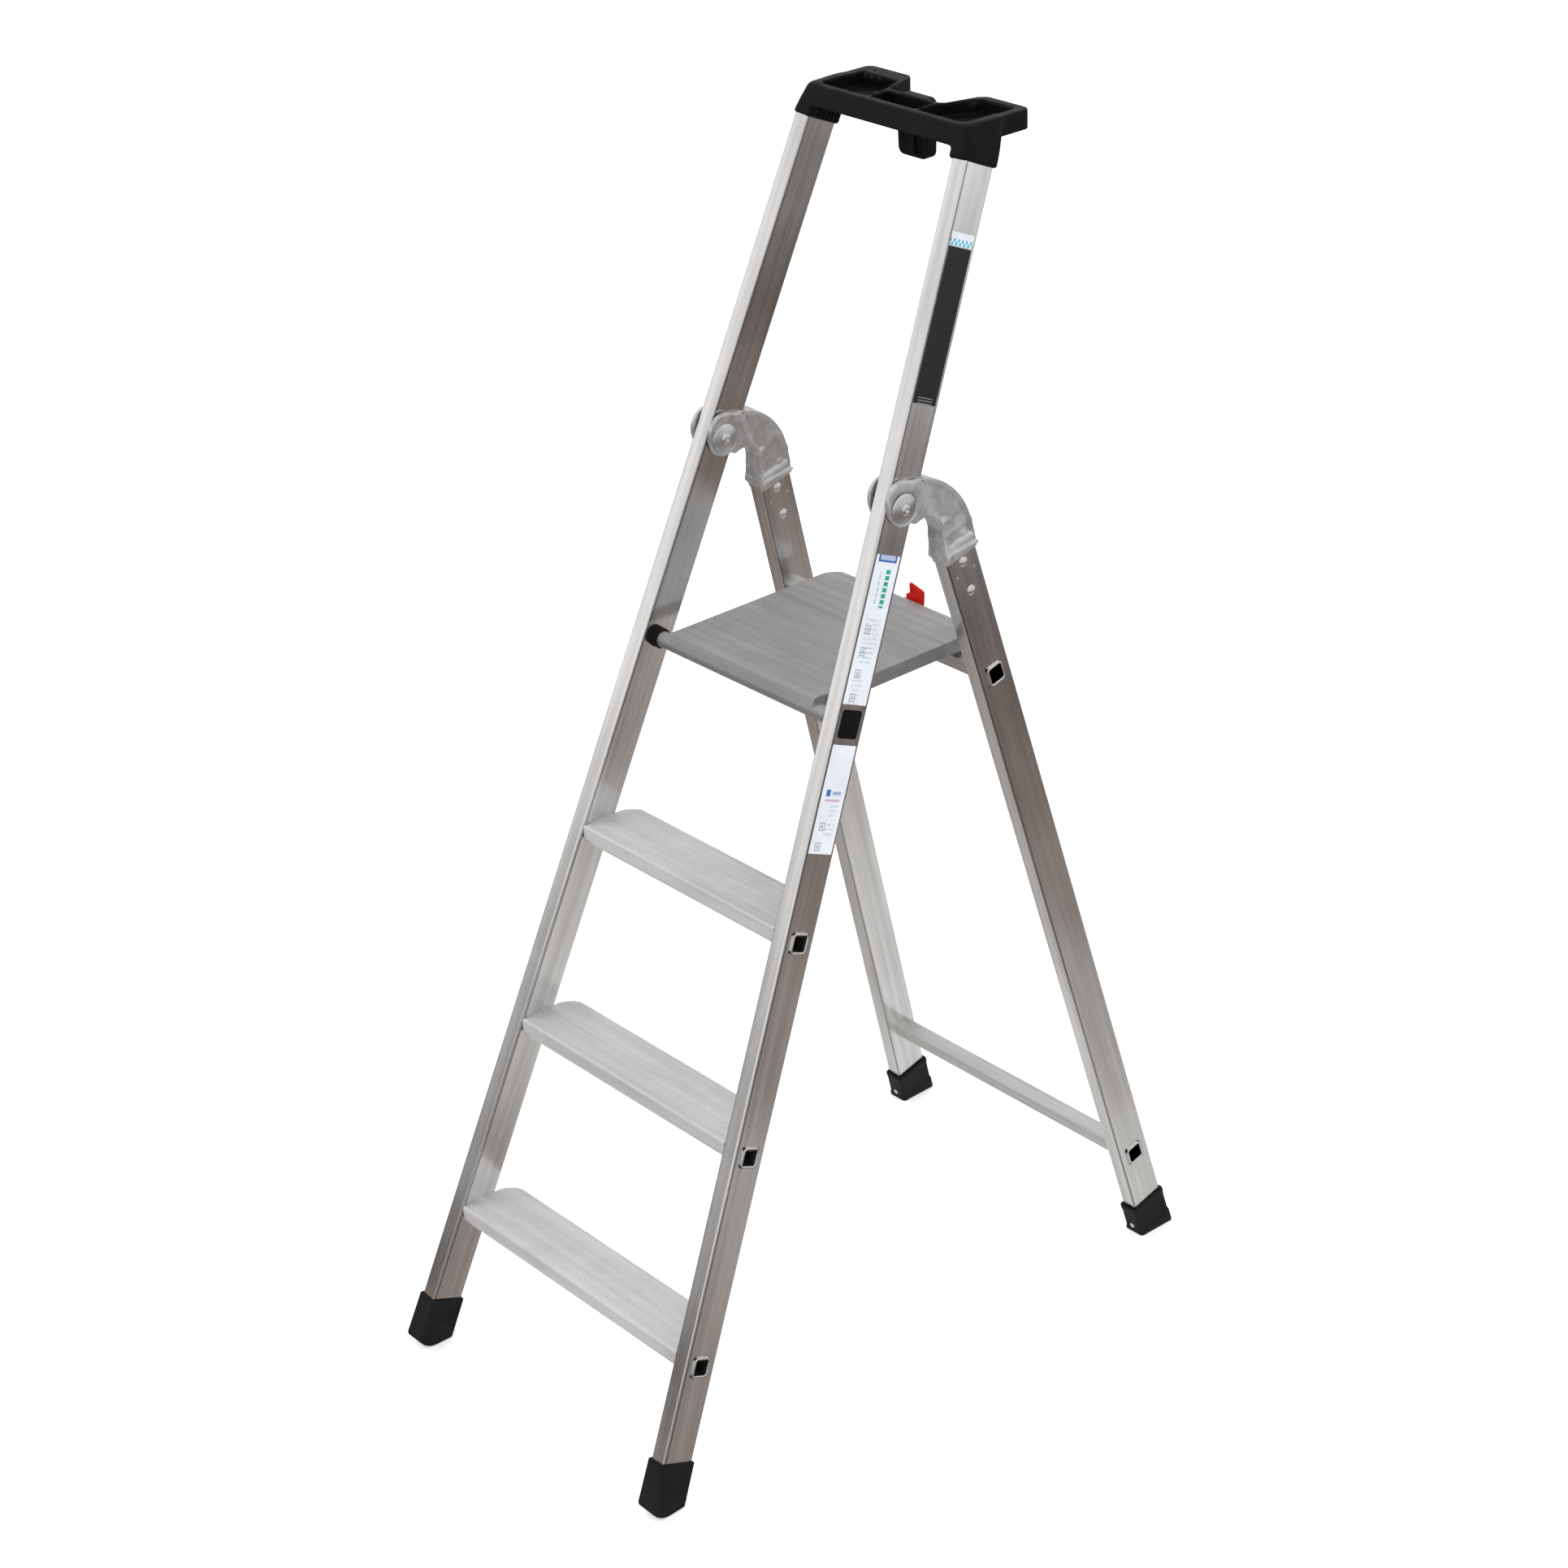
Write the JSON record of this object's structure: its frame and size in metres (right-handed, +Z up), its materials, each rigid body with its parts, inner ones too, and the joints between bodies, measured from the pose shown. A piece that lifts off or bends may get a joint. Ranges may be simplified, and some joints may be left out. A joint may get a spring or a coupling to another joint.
{
  "type": "platform step ladder",
  "caption": "Folding aluminium step ladder with splayed front stiles, treads, a tilting platform, a rear support frame on cast hinge knuckles and a moulded tool tray.",
  "frame": {"origin": "middle of the footprint on the floor", "axes": "+X to the right of a person climbing, +Y from the treads to the rear legs, +Z up"},
  "size_m": [0.495, 0.9026, 1.531],
  "materials": {
    "extruded_aluminium": "bright mill finish extrusion",
    "matt_aluminium": "matt ribbed extrusion",
    "cast_aluminium": "tumbled casting",
    "plated_hardware": "zinc plated",
    "black_plastic": "fine grained moulding",
    "foot_rubber": "satin rubber",
    "red_plastic": "moulded",
    "label_black": "printed film",
    "label_white": "printed film"
  },
  "bodies": {
    "front_frame": {"stile_right": "extruded_aluminium", "stile_left": "extruded_aluminium", "tread_1": "matt_aluminium", "tread_2": "matt_aluminium", "tread_3": "matt_aluminium", "tool_tray": "black_plastic", "tray_screws": "plated_hardware", "front_foot_right": "foot_rubber", "front_foot_left": "foot_rubber", "platform_pivot_rod": "plated_hardware", "pivot_bush_right": "black_plastic", "pivot_bush_left": "black_plastic", "pivot_cap_right": "black_plastic", "pivot_cap_left": "black_plastic", "hinge_bolts": "plated_hardware", "hinge_washers": "plated_hardware", "hinge_spacers": "black_plastic", "strip_label": "label_black", "strip_band": "label_white", "info_labels": "label_white"},
    "rear_frame": {"knuckle_right": "cast_aluminium", "knuckle_left": "cast_aluminium", "knuckle_rivets": "plated_hardware", "knuckle_pins": "plated_hardware", "rear_leg_right": "extruded_aluminium", "rear_leg_left": "extruded_aluminium", "upper_crossbar": "extruded_aluminium", "lower_brace": "extruded_aluminium", "rear_foot_right": "foot_rubber", "rear_foot_left": "foot_rubber", "foot_pegs": "plated_hardware"},
    "platform": {"platform_deck": "matt_aluminium", "platform_hooks": "plated_hardware", "platform_rivets": "plated_hardware", "catch_bracket": "plated_hardware", "catch_pin": "plated_hardware", "catch_spring": "plated_hardware"},
    "catch": {"catch_lever": "red_plastic"}
  },
  "joints": [
    {"name": "rear_fold", "type": "hinge", "parent": "front_frame", "child": "rear_frame", "pos_m": [0, 0.04871, 1.1275], "axis": [-1, 0, 0], "range_deg": [0, 37]},
    {"name": "platform_lift", "type": "hinge", "parent": "front_frame", "child": "platform", "pos_m": [0, -0.05083, 0.893], "axis": [1, 0, 0], "range_deg": [0, 67]},
    {"name": "catch_tilt", "type": "hinge", "parent": "platform", "child": "catch", "pos_m": [0.01, 0.22018, 0.896], "axis": [-1, 0, 0], "range_deg": [0, 20]}
  ],
  "couplings": [
    {"joint": "platform_lift", "follows": "rear_fold", "ratio": 1.81}
  ]
}
